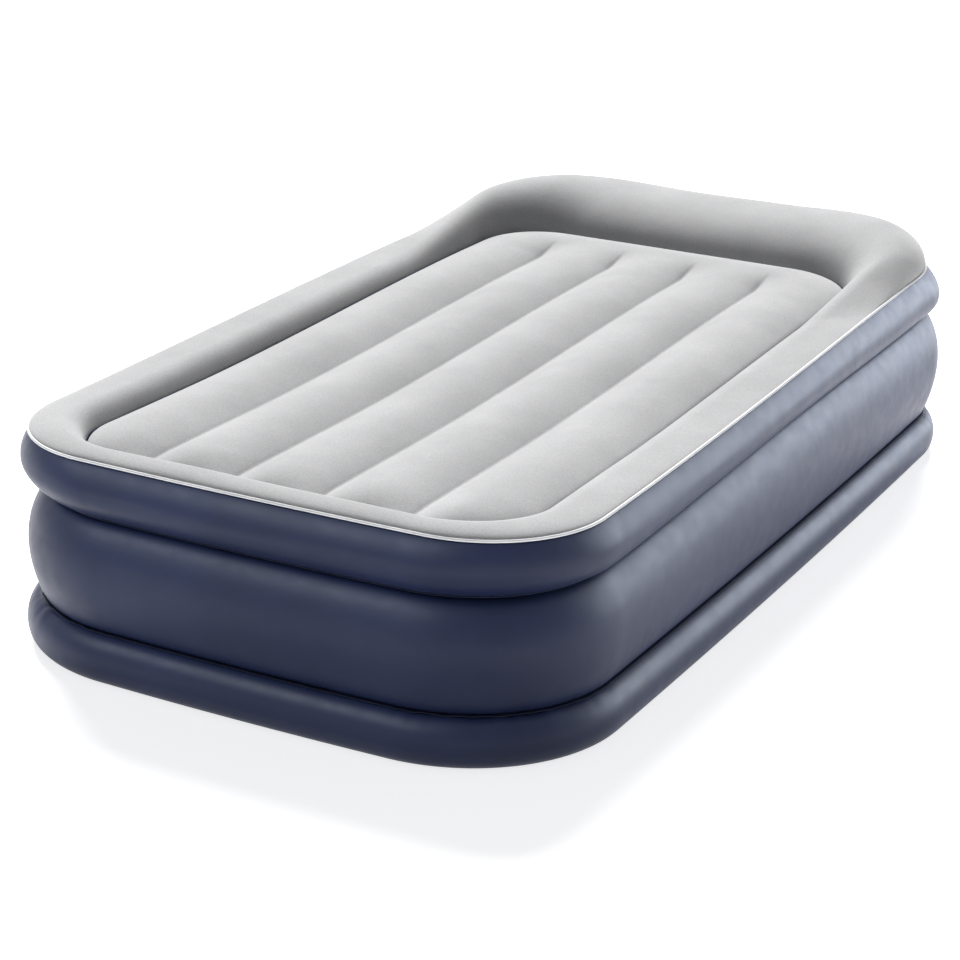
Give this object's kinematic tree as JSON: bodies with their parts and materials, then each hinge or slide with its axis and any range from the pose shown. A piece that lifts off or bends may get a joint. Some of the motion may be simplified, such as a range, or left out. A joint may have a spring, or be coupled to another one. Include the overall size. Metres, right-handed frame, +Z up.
{
  "type": "air mattress",
  "caption": "Raised single air bed: flocked sleeping surface in lengthwise channels, raised pillow end, tiered vinyl sides, built-in electric pump and capped hand valve.",
  "frame": {"origin": "on the floor, at the middle of the inflated bed's box", "axes": "+Z up, +Y along the bed from the foot to the pillow end, +X to the side on the right when seen from the foot"},
  "size_m": [0.99, 1.91, 0.4293],
  "materials": {
    "vinyl_navy": "satin navy vinyl with a soft gloss",
    "seam_navy": "welded navy vinyl seam",
    "vinyl_bottom": "matt navy vinyl, fine non-slip grain",
    "flock_grey": "light grey flocking, short and soft",
    "edge_trim": "pale welded edge bead",
    "membrane": "plain inner vinyl",
    "pump_grey": "moulded grey plastic, fine texture",
    "pump_dark": "moulded black plastic",
    "rubber": "soft black rubber",
    "steel": "zinc-plated steel"
  },
  "bodies": {
    "mattress": {"base_wall": "vinyl_navy", "base_seam": "seam_navy", "bottom_sheet": "vinyl_bottom", "middle_wall": "vinyl_navy", "waist_seam": "seam_navy", "upper_wall": "vinyl_navy", "edge_piping": "edge_trim", "top_border": "flock_grey", "surface_weld": "edge_trim", "sleeping_surface": "flock_grey", "lower_divider": "membrane", "upper_divider": "membrane", "tie_beam_1": "membrane", "tie_beam_2": "membrane", "tie_beam_3": "membrane", "tie_beam_4": "membrane", "pump_housing": "pump_grey", "faceplate_gasket": "rubber", "pump_faceplate": "pump_grey", "face_screw_1": "steel", "face_screw_2": "steel", "face_screw_3": "steel", "face_screw_4": "steel", "inlet_grille": "pump_dark", "switch_bezel": "pump_dark", "switch_body": "pump_dark", "cord_bay": "pump_grey", "cord_gland": "rubber", "door_hinge_pin": "steel", "selector_manifold": "pump_grey", "outlet_tube": "pump_grey", "motor": "steel", "motor_screw_1": "steel", "motor_screw_2": "steel", "scroll_back": "pump_grey", "scroll_case": "pump_grey", "blower_duct": "pump_grey", "valve_seat": "rubber", "valve_cage": "pump_grey", "valve_spring": "steel", "hand_valve_body": "pump_grey", "cap_hinge_pin": "steel"},
    "selector": {"selector_knob": "pump_dark", "selector_shaft": "pump_dark", "selector_drum": "pump_dark"},
    "rocker": {"switch_rocker": "pump_dark"},
    "bay_door": {"cord_bay_door": "pump_dark"},
    "blower_rotor": {"impeller": "pump_dark", "motor_shaft": "steel"},
    "check_disc": {"valve_disc": "pump_dark"},
    "valve_cap": {"hand_valve_cap": "pump_grey"},
    "valve_flap": {"hand_valve_flap": "rubber"}
  },
  "joints": [
    {"name": "selector_turn", "type": "hinge", "parent": "mattress", "child": "selector", "pos_m": [-0.17, 0.9443, 0.188], "axis": [0, 1, 0], "range_deg": [-90, 90]},
    {"name": "rocker_tip", "type": "hinge", "parent": "mattress", "child": "rocker", "pos_m": [-0.069, 0.9435, 0.2225], "axis": [1, 0, 0], "range_deg": [0, 16]},
    {"name": "bay_door_swing", "type": "hinge", "parent": "mattress", "child": "bay_door", "pos_m": [-0.069, 0.9467, 0.201], "axis": [1, 0, 0], "range_deg": [0, 110]},
    {"name": "rotor_spin", "type": "hinge", "parent": "mattress", "child": "blower_rotor", "pos_m": [-0.072, 0.86, 0.17], "axis": [0, 1, 0], "continuous": true},
    {"name": "check_disc_slide", "type": "slide", "parent": "mattress", "child": "check_disc", "axis": [0, -1, 0], "range_m": [0, 0.005], "stiffness_N_per_m": 60, "springref_m": -0.003, "deforming": ["valve_spring"]},
    {"name": "cap_swing", "type": "hinge", "parent": "mattress", "child": "valve_cap", "pos_m": [0.15, 0.9527, 0.196], "axis": [1, 0, 0], "range_deg": [0, 140]},
    {"name": "flap_swing", "type": "hinge", "parent": "mattress", "child": "valve_flap", "pos_m": [0.15, 0.9047, 0.1885], "axis": [-1, 0, 0], "range_deg": [0, 60], "stiffness_Nm_per_rad": 0.003, "springref_deg": -11.46}
  ]
}
